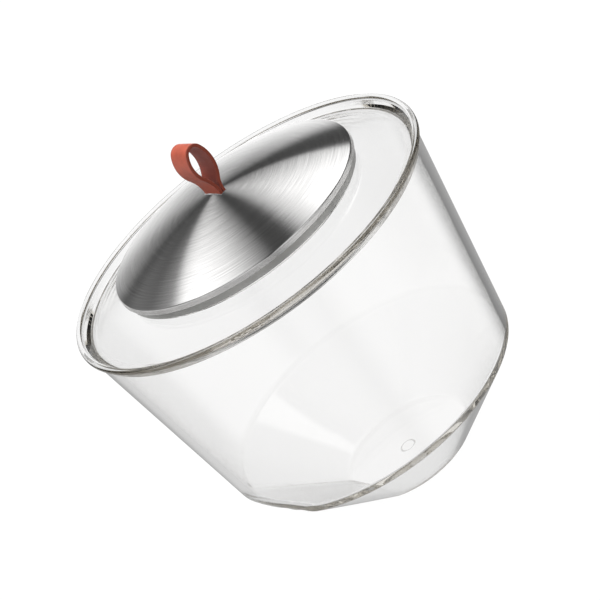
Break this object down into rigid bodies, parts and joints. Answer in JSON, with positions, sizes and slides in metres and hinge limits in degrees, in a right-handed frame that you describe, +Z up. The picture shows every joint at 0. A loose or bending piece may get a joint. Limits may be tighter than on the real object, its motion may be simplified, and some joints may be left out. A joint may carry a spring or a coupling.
{
  "type": "lidded glass canister",
  "caption": "Clear tapered canister with a conical base, a slanted resting flat, a narrowed mouth and a domed brushed-steel lid lifted by a leather loop.",
  "frame": {"origin": "centre of the flat foot disc that the upright canister stands on", "axes": "+Z up along the canister's axis towards the lid; the slanted resting flat faces -X and down"},
  "size_m": [0.21, 0.21, 0.2196],
  "materials": {
    "clear_body": "clear, polished",
    "clear_ring": "clear, polished",
    "dome_steel": "brushed in circles",
    "skirt_steel": "satin",
    "insert_plastic": "moulded, fine matt",
    "seal": "translucent grey silicone",
    "loop_leather": "smooth grain, cut edges",
    "rivet_steel": "plain"
  },
  "bodies": {
    "canister": {"canister_bowl": "clear_body", "top_ring": "clear_ring"},
    "lid": {"lid_dome": "dome_steel", "lid_skirt": "skirt_steel", "lid_insert": "insert_plastic", "seal_ring": "seal", "leather_loop": "loop_leather", "loop_rivet": "rivet_steel", "rivet_washer": "rivet_steel"}
  },
  "joints": [
    {"name": "lid_lift", "type": "slide", "parent": "canister", "child": "lid", "axis": [0, 0, 1], "range_m": [0, 0.12]}
  ]
}
